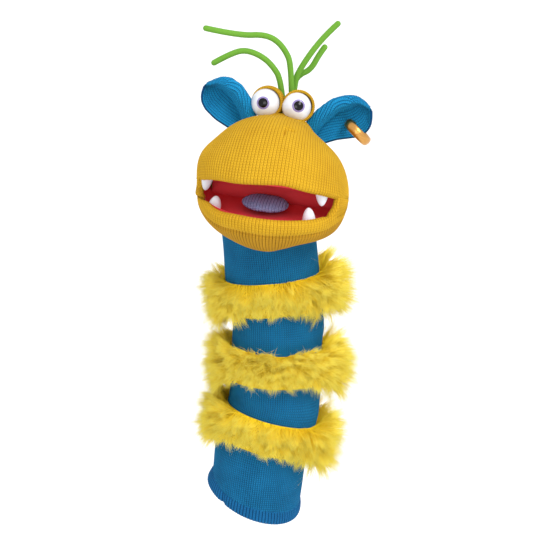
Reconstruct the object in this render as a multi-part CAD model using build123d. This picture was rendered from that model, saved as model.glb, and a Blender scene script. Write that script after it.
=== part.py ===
from build123d import *
from math import atan2, cos, degrees, radians, sin, tan
import os

# A knitted sock hand puppet: a long tube sleeve with three fur bands, a padded head with a jaw that
# opens, a lined mouth with tongue and fangs, dome eyes, folded ears, an earring and four wired feelers.

# Millimetres. +Z up, the face looks along -Y and +X is on the viewer's right. The origin is on the
# sleeve's axis at the arm opening, level with the highest point of the hem.

# ---------------------------------------------------------------- driving dimensions
KNIT = 2.0                # wall of the knitted tube and covers
GAP = 0.4                 # clearance between pieces of different bodies
SEW = 0.05                # clearance between pieces that are sewn or glued together
TUBE_R = 37.0             # outer radius of the worn sleeve
CUFF_LEAN = 7.0           # degrees that the cuff leans in the XZ plane
HEM_ROLL = 19.0           # degrees that the hem hangs lower on the right
HEM_PITCH = 14.0          # degrees that the hem hangs lower at the front
HEM_DROP = 17.0           # from the origin down to the middle of the hem
HEM_BAND = 11.0           # width of the ribbed hem band

# Corners of the sleeve's centreline, as (x, z).
CUFF_TOP = (2.7, 22.0)
KNEE = (14.4, 66.0)
WAIST = (16.6, 130.0)
SHOULDER = (12.4, 171.0)
BEND_R = 60.0             # radius of the centreline at its corners
WAIST_HALF = 17.0         # the soft stretch reaches this far each side of the waist corner
NECK_LENGTH = 8.0         # firm part of the neck above the shoulder
THROAT_TOP = 240.0        # the soft throat is trimmed below the head from this height down

FUR_H, FUR_R, FUR_ROUND = 28.0, 54.0, 9.0
FUR_Z = {"lower": 42.5, "middle": 97.0, "upper": 155.5}

# The head's own frame: origin on the fold of the mouth, lip plane z = 0, face towards -y.
HINGE = (12.0, -8.0, 238.5)
HEAD_PITCH, HEAD_ROLL, HEAD_YAW = 12.0, 6.5, -8.0
MOUTH_OPEN = 19.0         # degrees between the lip planes at rest
DOME, DOME_MID = (59.5, 60.0, 57.0), (3.0, -20.0, 0.0)
DOME_REAR = 74.0          # the dome reaches this far behind its middle
CHIN, CHIN_MID = (58.5, 58.0, 37.5), (3.0, -22.0, 0.0)
CHEEK_HEIGHT = 38.0       # depth below the lip plane of the egg that the cheeks follow
NECK_CUT = 45.0           # degrees from the lower lip plane down to the jaw's rear edge
BACK_CUT = 20.0           # degrees behind straight down of the front edge of the head's rear part
BACK_DROP = 24.0          # how far the head's rear part reaches below the fold
LIP = 6.5                 # width of the rolled lip
RECESS = 7.0              # depth of the mouth lining beyond the lip plane
FELT, BOARD, PAD, CHIN_PAD = 1.2, 2.0, 8.0, 4.8
BACK_Y = -5.0             # the linings and boards end this far in front of the fold's centre

FANG_R, FANG_L = 4.0, 15.5
FANG_AT = {"upper_left": (-43.0, -29.0), "upper_right": (44.5, -41.5),
           "lower_left": (-36.5, -45.5), "lower_right": (36.5, -52.0)}
TONGUE = (18.0, 17.0, 5.2)
TONGUE_Y = -32.0

EYE_R, EYE_BACK = 11.6, 4.0
EYE_X, EYE_Y, EYE_Z = 12.3, -1.0, 67.2
EYE_MID_X = -2.0
GAZE = {-1: (4.0, 5.5), 1: (14.0, -1.5)}   # degrees outwards and degrees below the lip plane
IRIS_R, PUPIL_R = 5.0, 3.7
MOUND_R, MOUND_BACK, MOUND_DEPTH = 12.9, 4.5, 13.5
STEM_R, STEM_L, WASHER_R, WASHER_T = 2.0, 7.0, 6.0, 1.4

EAR_LONG, EAR_WIDE, EAR_DEEP, EAR_WALL = 26.0, 15.5, 10.0, 2.6
EAR_CLEAR = 2.5           # between the ear and the head, so that the ear can flop
EAR_AT = {-1: (-26.0, 9.0, 304.0), 1: (66.5, 8.0, 291.5)}
EAR_SLOPE = {-1: 43.0, 1: 24.0}
RING_AT, RING_SLOPE = (79.5, 5.0, 282.8), 45.0
RING_R, RING_WIRE, RING_HOLE_R = 10.6, 2.3, 4.2

FEELER_R, WIRE_R = 2.4, 0.8
FEELER_BEND = 0.45        # share of the shorter run that a corner's arc uses
FEELER_CLEAR = 1.8        # between a feeler's foot and the head's top
FRONT_Y, REAR_Y, LAST_Y = 22.5, 28.5, 34.0
# Each feeler's depth and the corners of its route, as (x, z), from its foot to its tip.
FEELERS = {
    "long_left": (FRONT_Y, [(27.2, 262), (28.9, 331), (21, 349), (8, 358.2), (-14, 357), (-42.5, 363.4)]),
    "short_left": (FRONT_Y, [(22, 262), (21.8, 318), (10, 337.5), (-8, 346.5), (-22, 342.5), (-36, 334.6)]),
    "long_right": (REAR_Y, [(27.2, 252), (27.6, 317), (38, 336.5), (54, 357), (66, 367.6)]),
    "short_right": (LAST_Y, [(27.4, 246), (27.6, 314), (33, 325), (43, 329), (50, 342), (55.5, 349)]),
}


# ---------------------------------------------------------------- frames
def head_place():
    """From the head's own frame to the puppet's frame."""
    return Pos(*HINGE) * Rot(0, 0, HEAD_YAW) * Rot(0, HEAD_ROLL, 0) * Rot(-HEAD_PITCH, 0, 0)


def jaw_place():
    """From the jaw's own frame, lip plane z = 0, to the puppet's frame at rest."""
    return head_place() * Rot(MOUTH_OPEN, 0, 0)


def centre_at(z):
    """The x of the sleeve's centreline at height z, between its corners."""
    corners = [(-CUFF_TOP[0], -CUFF_TOP[1]), CUFF_TOP, KNEE, WAIST, SHOULDER]
    for (x0, z0), (x1, z1) in zip(corners, corners[1:]):
        if z <= z1:
            break
    return x0 + (x1 - x0) * (z - z0) / (z1 - z0)


def lean_at(z):
    """Degrees from vertical of the centreline at height z, positive towards +X."""
    return degrees(atan2(centre_at(z + 0.5) - centre_at(z - 0.5), 1.0))


def on_sleeve(z):
    """A frame on the centreline at height z, with its Z along the sleeve."""
    return Pos(centre_at(z), 0, z) * Rot(0, lean_at(z), 0)


def eye_frame(side):
    """On an eye's middle, with local +z along its gaze; side is -1 for the viewer's left."""
    outwards, below = GAZE[side]
    return Pos(EYE_MID_X + side * EYE_X, EYE_Y, EYE_Z) * Rot(0, 0, side * outwards) * Rot(90 + below, 0, 0)


def ear_frame(side):
    """On an ear's middle, local +x from its root to its tip and its cup open towards -y."""
    turn = 180 + EAR_SLOPE[side] if side < 0 else -EAR_SLOPE[side]
    return Pos(*EAR_AT[side]) * Rot(0, turn, 0)


# ---------------------------------------------------------------- shared shapes
def ellipsoid(mid, semi, inset=0.0):
    return Pos(*mid) * scale(Sphere(1.0), by=tuple(s - inset for s in semi))


def dome(inset=0.0, height=DOME[2]):
    """The head's egg: a longer half ellipsoid behind a shorter one."""
    halves = []
    for ball, depth in ((Sphere(1.0) & in_front_of(0), DOME[1]), (Sphere(1.0) & behind(0), DOME_REAR)):
        halves.append(scale(ball, by=(DOME[0] - inset, depth - inset, height - inset)))
    return Pos(*DOME_MID) * (halves[0] + halves[1])


def slab(z_low, z_high):
    """Everything between two heights of the local frame."""
    return Pos(0, 0, (z_low + z_high) / 2) * Box(400, 400, z_high - z_low)


def in_front_of(y):
    return Pos(0, y - 150, 0) * Box(400, 300, 400)


def behind(y):
    return Pos(0, y + 150, 0) * Box(400, 300, 400)


def beyond(angle, gap=0.0):
    """All of the rear side of a plane through the fold, angle degrees below the forward direction."""
    return Rot(angle, 0, 0) * slab(-200, -gap)


def oval_column(inset, low, high, semi, mid):
    """An oval column inset from the lips, cut off in front of the fold."""
    column = extrude(Pos(mid[0], mid[1], low) * Ellipse(semi[0] - inset, semi[1] - inset), high - low)
    return column & in_front_of(BACK_Y)


def tube(corners, outer, wall):
    """A knitted tube of constant section along a centreline with rounded corners."""
    points = [(x, 0, z) for x, z in corners]
    path = FilletPolyline(*points, radius=BEND_R) if len(points) > 2 else Polyline(*points)
    start = Plane(origin=path @ 0, z_dir=path % 0)
    solid = sweep(start * Circle(outer), path=path)
    return solid - sweep(start * Circle(outer - wall), path=path)


# ---------------------------------------------------------------- sleeve, hem and fur bands
def below_hem():
    """A big block whose top face is the plane of the hem's edge."""
    lean = radians(CUFF_LEAN)
    middle = Pos(-HEM_DROP * sin(lean), 0, -HEM_DROP * cos(lean))
    return middle * Rot(HEM_PITCH, HEM_ROLL, 0) * Pos(0, 0, -60) * Box(240, 240, 120)


def up_cuff(distance):
    lean = radians(CUFF_LEAN)
    return Pos(distance * sin(lean), 0, distance * cos(lean))


def sleeve_knit():
    """The lower tube, from above the hem band to the top of the middle fur band."""
    lean, low = radians(CUFF_LEAN), 50.0
    end_z = WAIST[1] - WAIST_HALF
    corners = [(-low * sin(lean), -low * cos(lean)), CUFF_TOP, KNEE, (centre_at(end_z), end_z)]
    return tube(corners, TUBE_R, KNIT) - up_cuff(HEM_BAND + SEW) * below_hem()


def cuff_hem():
    """The ribbed hem band that finishes the arm opening."""
    ring = Rot(0, CUFF_LEAN, 0) * (Cylinder(TUBE_R + 0.8, 100) - Cylinder(TUBE_R - KNIT, 100))
    return (ring & (up_cuff(HEM_BAND) * below_hem())) - below_hem()


def waist_knit():
    """The soft stretch of sleeve over the wrist, between the middle and the upper fur band."""
    low, high = WAIST[1] - WAIST_HALF + SEW, WAIST[1] + WAIST_HALF - SEW
    return tube([(centre_at(low), low), WAIST, (centre_at(high), high)], TUBE_R, KNIT)


def shoulder_knit():
    """The tube under the upper fur band."""
    low = WAIST[1] + WAIST_HALF
    return tube([(centre_at(low), low), SHOULDER], TUBE_R, KNIT)


def fur_band(z):
    """One strip of fur fabric sewn round the tube: backing and pile."""
    ring = Cylinder(FUR_R, FUR_H)
    ring = fillet(ring.edges().filter_by(GeomType.CIRCLE), FUR_ROUND)
    return on_sleeve(z) * (ring - Cylinder(TUBE_R + SEW, FUR_H))


def neck_frame(distance):
    """On the neck's axis, this far above the shoulder."""
    return Pos(SHOULDER[0], 0, SHOULDER[1]) * Rot(0, lean_at(SHOULDER[1] - 1), 0) * Pos(0, 0, distance)


def neck_ring(low, high):
    """A length of the neck's tube between two distances above the shoulder."""
    ring = Cylinder(TUBE_R, high - low) - Cylinder(TUBE_R - KNIT, high - low)
    return neck_frame((low + high) / 2) * ring


def throat_knit():
    """The soft top of the neck, trimmed to meet the underside of the head and of the chin."""
    solid = neck_ring(NECK_LENGTH + SEW, THROAT_TOP - SHOULDER[1])
    solid -= head_place() * (dome(-GAP, CHEEK_HEIGHT) + (dome(-GAP) & slab(-BACK_DROP, 90)))
    solid -= jaw_place() * ellipsoid(CHIN_MID, CHIN, -GAP)
    return max(solid.solids(), key=lambda piece: piece.volume)


# ---------------------------------------------------------------- upper head
def rear_part():
    """The sector behind the jaw, from the fold down to the neck, that belongs to the upper head."""
    return behind(0) & slab(-BACK_DROP, 0) & beyond(90 + BACK_CUT)


def head_cover():
    """Yellow knit over the top, sides and back of the head, rolled in at the lip."""
    shell = dome() & (slab(0, 100) + rear_part())
    inside = dome(KNIT)
    shell -= inside & slab(KNIT, 100)
    shell -= inside & behind(BACK_Y)
    return shell - oval_column(LIP, -1, KNIT + 1, DOME, DOME_MID)


def head_padding():
    """Foam between the cover and the fingers."""
    solid = dome(KNIT + SEW) & slab(KNIT + SEW, 100)
    solid -= dome(KNIT + PAD)
    solid -= oval_column(LIP, 0, RECESS + FELT + BOARD + 2 * SEW, DOME, DOME_MID)
    return solid - (behind(BACK_Y) & slab(-20, 17))


def upper_lining():
    """Red felt dish that lines the roof of the mouth."""
    outer = oval_column(LIP + SEW, 0.2, RECESS + FELT, DOME, DOME_MID)
    return outer - oval_column(LIP + SEW + FELT, 0, RECESS, DOME, DOME_MID)


def upper_board():
    """Stiff plate over the roof lining, under the fingers."""
    low = RECESS + FELT + SEW
    return oval_column(LIP + 2, low, low + BOARD, DOME, DOME_MID)


def mouth_fold():
    """The strip of lining that goes round the back of the mouth, from the roof to the floor."""
    inner = (BACK_Y**2 + RECESS**2) ** 0.5
    ring = Rot(0, 90, 0) * (Cylinder(inner + FELT, 92) - Cylinder(inner, 92))
    rear = behind(BACK_Y + SEW) & (Rot(MOUTH_OPEN, 0, 0) * behind(BACK_Y + SEW))
    return Pos(DOME_MID[0], 0, 0) * (ring & rear)


def cheeks():
    """Soft yellow knit each side of the neck, from the jaw's rear edge to the head's rear part."""
    shell = dome(0.0, CHEEK_HEIGHT) - dome(KNIT, CHEEK_HEIGHT)
    sector = beyond(MOUTH_OPEN + NECK_CUT, GAP) - beyond(90 + BACK_CUT, -GAP)
    shell = head_place() * (shell & sector & slab(-60, -12))
    shell -= neck_frame(30) * Cylinder(TUBE_R + GAP, 120)
    return shell.solids().sort_by(Axis.X)


def fang():
    """One stuffed fang, base at z = 0 and tip towards +z."""
    return ellipsoid((0, 0, 0), (FANG_R, FANG_R, FANG_L)) & slab(0, 50)


# ---------------------------------------------------------------- eyes
def eyeball():
    """White dome with a flat back and the stem behind it."""
    ball = Sphere(EYE_R) & slab(-EYE_BACK, 50)
    return ball + Pos(0, 0, -EYE_BACK - STEM_L / 2 + 0.5) * Cylinder(STEM_R, STEM_L + 1)


def eye_disc(radius, lift):
    """A thin cap on the front of the ball."""
    return (Sphere(EYE_R + lift) - Sphere(EYE_R + SEW)) & (Pos(0, 0, EYE_R) * Cylinder(radius, 2 * EYE_R))


def iris():
    return eye_disc(IRIS_R, 0.45) - Pos(0, 0, EYE_R) * Cylinder(PUPIL_R + 0.02, 2 * EYE_R)


def pupil():
    return eye_disc(PUPIL_R, 0.7)


def washer_frame():
    return Pos(0, 0, -EYE_BACK - STEM_L + 2)


def eye_washer():
    """The lock washer on the end of an eye's stem."""
    return washer_frame() * (Cylinder(WASHER_R, WASHER_T) - Cylinder(STEM_R + 0.02, WASHER_T))


def eye_mound(side):
    """The stuffed yellow cup that an eye is set in, down to the head and up to its neighbour."""
    solid = Pos(0, 0, -MOUND_BACK) * Sphere(MOUND_R)
    solid -= Sphere(EYE_R + SEW)
    solid -= Pos(0, 0, -STEM_L) * Cylinder(STEM_R + SEW, 2 * STEM_L)
    solid -= washer_frame() * Cylinder(WASHER_R + SEW, WASHER_T + 2 * SEW)
    solid = eye_frame(side) * (solid & slab(-MOUND_DEPTH, 8 - EYE_BACK))
    solid -= dome(-SEW)
    own_side = Pos(EYE_MID_X + side * (100 + SEW), 0, 0) * Box(200, 400, 400)
    return max((solid & own_side).solids(), key=lambda piece: piece.volume)


# ---------------------------------------------------------------- jaw
def jaw_region():
    """The part of the jaw's own frame that the jaw may fill: ahead of the fold and of the neck."""
    return in_front_of(BACK_Y) - beyond(NECK_CUT)


def jaw_cover():
    """Yellow knit of the chin, rolled in at the lip."""
    shell = ellipsoid(CHIN_MID, CHIN) & slab(-100, 0)
    shell -= ellipsoid(CHIN_MID, CHIN, KNIT) & slab(-100, -KNIT)
    return (shell & jaw_region()) - oval_column(LIP, -KNIT - 1, 1, CHIN, CHIN_MID)


def jaw_padding():
    """Foam between the chin's cover and the thumb."""
    solid = ellipsoid(CHIN_MID, CHIN, KNIT + SEW) & slab(-100, -KNIT - SEW)
    solid -= ellipsoid(CHIN_MID, CHIN, KNIT + CHIN_PAD)
    solid -= oval_column(LIP, -RECESS - FELT - BOARD - 2 * SEW, 1, CHIN, CHIN_MID)
    return solid & jaw_region()


def lower_lining():
    """Red felt dish that lines the floor of the mouth."""
    outer = oval_column(LIP + SEW, -RECESS - FELT, -0.2, CHIN, CHIN_MID)
    return outer - oval_column(LIP + SEW + FELT, -RECESS, 1, CHIN, CHIN_MID) - beyond(NECK_CUT)


def lower_board():
    """Stiff plate under the floor lining, on the thumb."""
    high = -RECESS - FELT - SEW
    return oval_column(LIP + 2, high - BOARD, high, CHIN, CHIN_MID) - beyond(NECK_CUT)


def tongue_parts():
    """The knitted tongue's cover and its filling, lying on the floor of the mouth."""
    mid = (0, TONGUE_Y, -RECESS + TONGUE[2] + 0.4)
    cover = ellipsoid(mid, TONGUE) - ellipsoid(mid, TONGUE, 1.0)
    return cover, ellipsoid(mid, TONGUE, 1.0 + SEW)


# ---------------------------------------------------------------- ears, earring and feelers
def ear(side):
    """A folded leaf of knit as a shallow cup, trimmed clear of the head."""
    semi = (EAR_LONG, EAR_DEEP, EAR_WIDE)
    cup = (ellipsoid((0, 0, 0), semi) - ellipsoid((0, 0, 0), semi, EAR_WALL)) & behind(0)
    cup = ear_frame(side) * cup
    cup -= head_place() * dome(-EAR_CLEAR)
    return max(cup.solids(), key=lambda piece: piece.volume)


def ring_frame():
    """Middle of the earring, local z square to its plane."""
    return Pos(*RING_AT) * Rot(0, RING_SLOPE, 0)


def feeler(depth, corners, outer, inner=0.0):
    """A round cord, or a tube round a wire, along a route with rounded corners, trimmed at its foot."""
    points = [(x, depth, z) for x, z in corners]
    runs = [Vector(*b) - Vector(*a) for a, b in zip(points, points[1:])]
    radii = []
    for before, after in zip(runs, runs[1:]):
        half_turn = radians(before.get_angle(after)) / 2
        radii.append(FEELER_BEND * min(before.length, after.length) / tan(half_turn))
    path = FilletPolyline(*points, radius=radii)
    start = Plane(origin=path @ 0, z_dir=path % 0)
    solid = sweep(start * Circle(outer), path=path)
    if inner:
        solid -= sweep(start * Circle(inner), path=path)
    return solid - head_place() * dome(-FEELER_CLEAR)


# ---------------------------------------------------------------- assembly
def tube_parts():
    parts = {
        "sleeve_knit": sleeve_knit(),
        "cuff_hem": cuff_hem(),
        "waist_knit": waist_knit(),
        "shoulder_knit": shoulder_knit(),
        "neck_knit": neck_ring(SEW, NECK_LENGTH),
        "throat_knit": throat_knit(),
    }
    for name, z in FUR_Z.items():
        parts[name + "_fur_band"] = fur_band(z)
    return parts


def head_parts():
    place = head_place()
    parts = {
        "head_cover": place * head_cover(),
        "head_padding": place * head_padding(),
        "upper_mouth_lining": place * upper_lining(),
        "upper_mouth_board": place * upper_board(),
        "mouth_fold": place * mouth_fold(),
    }
    parts["left_cheek_knit"], parts["right_cheek_knit"] = cheeks()
    for word, side in (("left", -1), ("right", 1)):
        eye = place * eye_frame(side)
        x, y = FANG_AT["upper_" + word]
        parts["upper_" + word + "_fang"] = place * Pos(x, y, RECESS - 0.1) * Rot(180, 0, 0) * fang()
        parts[word + "_eyeball"] = eye * eyeball()
        parts[word + "_iris"] = eye * iris()
        parts[word + "_pupil"] = eye * pupil()
        parts[word + "_eye_washer"] = eye * eye_washer()
        parts[word + "_eye_mound"] = place * eye_mound(side)
    return parts


def jaw_parts():
    place = jaw_place()
    cover, filling = tongue_parts()
    parts = {
        "jaw_cover": place * jaw_cover(),
        "jaw_padding": place * jaw_padding(),
        "lower_mouth_lining": place * lower_lining(),
        "lower_mouth_board": place * lower_board(),
        "tongue_cover": place * cover,
        "tongue_filling": place * filling,
    }
    for word in ("left", "right"):
        x, y = FANG_AT["lower_" + word]
        parts["lower_" + word + "_fang"] = place * Pos(x, y, 0.1 - RECESS) * fang()
    return parts


def trim_parts():
    parts = {
        "left_ear": ear(-1),
        "right_ear": ear(1) - ring_frame() * Torus(RING_R, RING_HOLE_R),
        "earring": ring_frame() * Torus(RING_R, RING_WIRE),
    }
    for name, (depth, corners) in FEELERS.items():
        parts[name + "_feeler_cover"] = feeler(depth, corners, FEELER_R, WIRE_R + SEW)
        parts[name + "_feeler_wire"] = feeler(depth, corners, WIRE_R)
    return parts


def main():
    os.makedirs("parts", exist_ok=True)
    for group in (tube_parts(), head_parts(), jaw_parts(), trim_parts()):
        for name, solid in group.items():
            export_step(solid, "parts/" + name + ".step")
            print(name, round(solid.volume), "solids", len(solid.solids()))


main()
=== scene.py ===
"""The looks of a knitted sock puppet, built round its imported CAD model.

Sizes are millimetres, and mesh_piece turns them into the metres of the mesh. Angles are typed in as degrees
and worked with in radians.
"""
import math

import bpy
import numpy as np
from mathutils import Matrix, Vector


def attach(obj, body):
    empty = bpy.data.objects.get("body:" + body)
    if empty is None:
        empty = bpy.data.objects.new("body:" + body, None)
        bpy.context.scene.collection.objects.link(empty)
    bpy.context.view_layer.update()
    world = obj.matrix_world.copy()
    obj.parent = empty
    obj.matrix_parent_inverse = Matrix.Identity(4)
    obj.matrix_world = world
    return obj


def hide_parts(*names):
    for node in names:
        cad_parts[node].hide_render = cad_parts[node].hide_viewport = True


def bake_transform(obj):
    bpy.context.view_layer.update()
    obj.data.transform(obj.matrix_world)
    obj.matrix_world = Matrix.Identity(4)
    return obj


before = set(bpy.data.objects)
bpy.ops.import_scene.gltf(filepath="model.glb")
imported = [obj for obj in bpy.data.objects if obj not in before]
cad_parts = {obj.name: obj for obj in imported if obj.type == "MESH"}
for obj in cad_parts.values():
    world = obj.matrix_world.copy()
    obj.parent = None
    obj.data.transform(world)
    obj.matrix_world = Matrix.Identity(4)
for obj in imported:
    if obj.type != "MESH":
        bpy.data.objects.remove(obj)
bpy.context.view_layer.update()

TAU = 2 * math.pi
STITCH = "stitch"          # coordinates that count wales across and courses along a knitted piece
COURSE = 1.7               # height of one row of stitches


# ---------------------------------------------------------------- frames, as 4x4 matrices in millimetres
def turn(axis, degrees):
    return np.array(Matrix.Rotation(math.radians(degrees), 4, axis))


def shift(x, y, z):
    return np.array(Matrix.Translation((x, y, z)))


def placed(matrix, points):
    return np.asarray(points, float) @ matrix[:3, :3].T + matrix[:3, 3]


# The head's own frame: origin on the fold of the mouth, lip plane z = 0, face towards -y.
MOUTH_OPEN = 19.0
HEAD = shift(12, -8, 238.5) @ turn("Z", -8) @ turn("Y", 6.5) @ turn("X", -12)
JAW = HEAD @ turn("X", MOUTH_OPEN)


# ---------------------------------------------------------------- lines and ramps
def smooth(x, low, high):
    """0 below low, 1 above high and an even ramp between."""
    t = np.clip((np.asarray(x, float) - low) / (high - low), 0, 1)
    return t * t * (3 - 2 * t)


def angles(count):
    """Evenly spaced angles round a circle, in radians."""
    return np.arange(count) * TAU / count


def groove(u, depth):
    """0 on the crest of each wale and -depth in the groove between two; u counts wales."""
    return -depth * np.abs(2 * (u % 1.0) - 1) ** 2.2


def evened(line, times):
    """A line of values or points, its inner ones drawn towards their neighbours so many times."""
    line = np.array(line, float)
    for _ in range(times):
        line[1:-1] = (line[:-2] + 2 * line[1:-1] + line[2:]) / 4
    return line


def averaged(values, reach, mode):
    """The mean of each value and the reach values on each side; mode is np.pad's, for the ends."""
    window = np.ones(2 * reach + 1) / (2 * reach + 1)
    return np.convolve(np.pad(values, reach, mode=mode), window, "valid")


def run_along(points):
    """Distance of each point from the first one, along the line."""
    return np.concatenate([[0], np.cumsum(np.linalg.norm(np.diff(points, axis=0), axis=1))])


def from_zero(steps):
    """Running sums along each row, with a 0 in front."""
    return np.concatenate([np.zeros((len(steps), 1)), np.cumsum(steps, 1)], 1)


def rounded(points, count):
    """The corner points of a profile joined by a smooth line of count points."""
    points = np.array(points, float)
    run = run_along(points)
    at = np.linspace(0, run[-1], count)
    line = np.stack([np.interp(at, run, points[:, k]) for k in (0, 1)], -1)
    return evened(line, max(1, count // 12))


# ---------------------------------------------------------------- meshes
def mesh_piece(name, points, faces, uv=None, tint=None):
    """A smooth-shaded object from points in millimetres, equal-sided faces and per-corner coordinates."""
    points, faces = np.asarray(points, np.float32), np.asarray(faces, np.int32)
    used, faces_flat = np.unique(faces, return_inverse=True)
    faces = faces_flat.reshape(faces.shape).astype(np.int32)
    mesh = bpy.data.meshes.new(name)
    mesh.vertices.add(len(used))
    mesh.vertices.foreach_set("co", (points[used] * 0.001).ravel())
    mesh.loops.add(faces.size)
    mesh.loops.foreach_set("vertex_index", faces.ravel())
    mesh.polygons.add(len(faces))
    mesh.polygons.foreach_set("loop_start", np.arange(0, faces.size, faces.shape[1], dtype=np.int32))
    mesh.update(calc_edges=True)
    mesh.shade_smooth()
    if uv is not None:
        mesh.uv_layers.new(name=STITCH).data.foreach_set("uv", np.asarray(uv, np.float32).ravel())
    if tint is not None:
        layer = mesh.color_attributes.new(name="tint", type="FLOAT_COLOR", domain="POINT")
        layer.data.foreach_set("color", np.asarray(tint, np.float32)[used].ravel())
    obj = bpy.data.objects.new(name, mesh)
    bpy.context.scene.collection.objects.link(obj)
    return obj


def corners(table):
    """The four values round each cell of a table, one row per cell."""
    return np.stack([table[:-1, :-1], table[:-1, 1:], table[1:, 1:], table[1:, :-1]], -1).reshape(-1, 4)


def closed(table):
    """A table with its first column repeated behind the last."""
    return np.concatenate([table, table[:, :1]], 1)


def grid_piece(name, points, u=None, v=None, v_scale=None, wrap=False, keep=None):
    """Quads over rows and columns of points.

    u and v count wales and courses, v_scale shortens the courses of each column of quads, wrap joins the
    last column to the first and keep is True for the quads that are made.
    """
    rows, columns = points.shape[:2]
    wide = columns + 1 if wrap else columns
    index = np.arange(rows)[:, None] * columns + (np.arange(wide) % columns)[None, :]
    faces = corners(index)
    uv = None
    if u is not None:
        across = corners(np.broadcast_to(u, (rows, wide)))
        along = corners(np.broadcast_to(v, (rows, wide)))
        if v_scale is not None:
            along = along * np.broadcast_to(v_scale, (rows - 1, wide - 1)).reshape(-1, 1)
        uv = np.stack([across, along], -1)
    if keep is not None:
        mask = np.asarray(keep).reshape(-1)
        faces, uv = faces[mask], None if uv is None else uv[mask]
    return mesh_piece(name, points.reshape(-1, 3), faces, uv)


def lathe(name, profile, columns, matrix, wales=1, pitch=1.0, relief=0.0):
    """A profile of (radius, height) pairs turned round local z, with wales round it and courses of pitch."""
    profile = np.array(profile, float)
    angle = angles(columns)
    u = np.arange(columns + 1) * wales / columns
    radius = profile[:, :1] + groove(u[:-1], relief)
    points = np.stack([radius * np.cos(angle), radius * np.sin(angle), profile[:, 1:] + 0 * angle], -1)
    return grid_piece(name, placed(matrix, points), u, run_along(profile)[:, None] / pitch, wrap=True)


# ---------------------------------------------------------------- materials
def linear(red, green, blue):
    """An sRGB colour, 0 to 255, as linear RGBA."""
    parts = [c / 255 for c in (red, green, blue)]
    return tuple(c / 12.92 if c <= 0.04045 else ((c + 0.055) / 1.055) ** 2.4 for c in parts) + (1.0,)


class Look:
    """One material and short calls to add and join its nodes."""

    def __init__(self, name, **sockets):
        self.material = bpy.data.materials.new(name)
        self.material.use_nodes = True
        self.tree = self.material.node_tree
        self.surface = self.tree.nodes["Principled BSDF"]
        for socket, value in sockets.items():
            self.surface.inputs[socket.replace("_", " ")].default_value = value

    def put(self, socket, value):
        if isinstance(value, bpy.types.NodeSocket):
            self.tree.links.new(value, socket)
        elif value is not None:
            socket.default_value = value

    def node(self, kind, settings=(), **inputs):
        made = self.tree.nodes.new("ShaderNode" + kind)
        for key, value in dict(settings).items():
            setattr(made, key, value)
        for socket, value in inputs.items():
            self.put(made.inputs[socket.replace("_", " ")], value)
        return made

    def math(self, operation, a, b=None, clamp=False):
        made = self.node("Math", {"operation": operation, "use_clamp": clamp})
        self.put(made.inputs[0], a)
        self.put(made.inputs[1], b)
        return made.outputs[0]

    def plus(self, a, b, clamp=False):
        return self.math("ADD", a, b, clamp)

    def minus(self, a, b):
        return self.math("SUBTRACT", a, b)

    def times(self, a, b):
        return self.math("MULTIPLY", a, b)

    def hump(self, value, scale, centre, power):
        """1 where value times scale meets centre, falling to 0 one unit to each side."""
        away = self.math("ABSOLUTE", self.minus(self.times(value, scale), centre))
        return self.minus(1.0, self.math("POWER", away, power))

    def mix(self, factor, a, b):
        made = self.node("Mix", {"data_type": "RGBA"})
        self.put(made.inputs[0], factor)
        self.put(made.inputs[6], a)
        self.put(made.inputs[7], b)
        return made.outputs[2]

    def noise(self, scale, detail=2.0, stretch=None):
        where = self.node("TexCoord").outputs["Object"]
        if stretch:
            where = self.node("Mapping", Vector=where, Scale=stretch).outputs[0]
        return self.node("TexNoise", Vector=where, Scale=scale, Detail=detail).outputs[0]

    def colour(self, value):
        self.put(self.surface.inputs["Base Color"], value)

    def bump(self, height, depth):
        """Relief from a height of 0 to 1; depth is in metres."""
        made = self.node("Bump", Height=height, Distance=depth, Strength=1.0)
        self.put(self.surface.inputs["Normal"], made.outputs[0])


def knit_look(name, light, dark, depth, ribbed, rows, fuzz=0.15):
    """Knitted wool, read from the stitch coordinates: each wale is a chain of V stitches.

    ribbed is how far a wale is one rounded rib rather than the two legs of its stitches, and rows is how
    deep the steps between its loops are. The colour runs from light on the crests to dark in the grooves,
    which is painted shade, with random blotches on top.
    """
    look = Look(name, Roughness=0.9, Sheen_Weight=fuzz, Sheen_Roughness=0.45, Sheen_Tint=light,
                Specular_IOR_Level=0.15)
    where = look.node("SeparateXYZ", Vector=look.node("UVMap", {"uv_map": STITCH}).outputs[0])
    u, v = where.outputs[0], where.outputs[1]
    off = look.math("ABSOLUTE", look.minus(look.math("FRACT", u), 0.5))
    legs = look.times(look.hump(off, 4.0, 1.0, 2.0), 1 - ribbed)
    crest = look.times(look.hump(off, 2.0, 0.0, 4.0), ribbed)
    wale = look.math("POWER", look.plus(legs, crest), 0.8)
    slanted = look.minus(v, look.times(off, 1.3))
    phase = look.math("FRACT", look.plus(slanted, look.times(look.noise(900, 1.0), 0.35)))
    loop = look.plus(look.times(look.hump(phase, 2.0, 1.0, 3.0), rows), 1 - rows)
    fibre = look.times(look.minus(look.noise(2600, 3.0), 0.5), 0.5)
    height = look.plus(look.times(wale, loop), fibre)
    worn = look.times(look.minus(look.noise(45, 3.0), 0.5), 0.6)
    # painted shade: the colour is darkest where the stitch relief is low, in the grooves between wales and
    # loops
    tone = look.plus(look.minus(look.times(height, 1.15), 0.1), worn, clamp=True)
    look.colour(look.mix(tone, dark, light))
    look.bump(height, depth)
    return look.material


def felt_look(name, light, dark, fuzz, depth=0.0003):
    """Pressed felt with a soft nap."""
    look = Look(name, Roughness=0.95, Sheen_Weight=fuzz, Sheen_Roughness=0.5, Sheen_Tint=light,
                Specular_IOR_Level=0.1)
    nap = look.plus(look.times(look.noise(2600, 4.0), 0.6), look.times(look.noise(60, 2.0), 0.4))
    look.colour(look.mix(nap, dark, light))
    look.bump(look.noise(3200, 4.0), depth)
    return look.material


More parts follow.
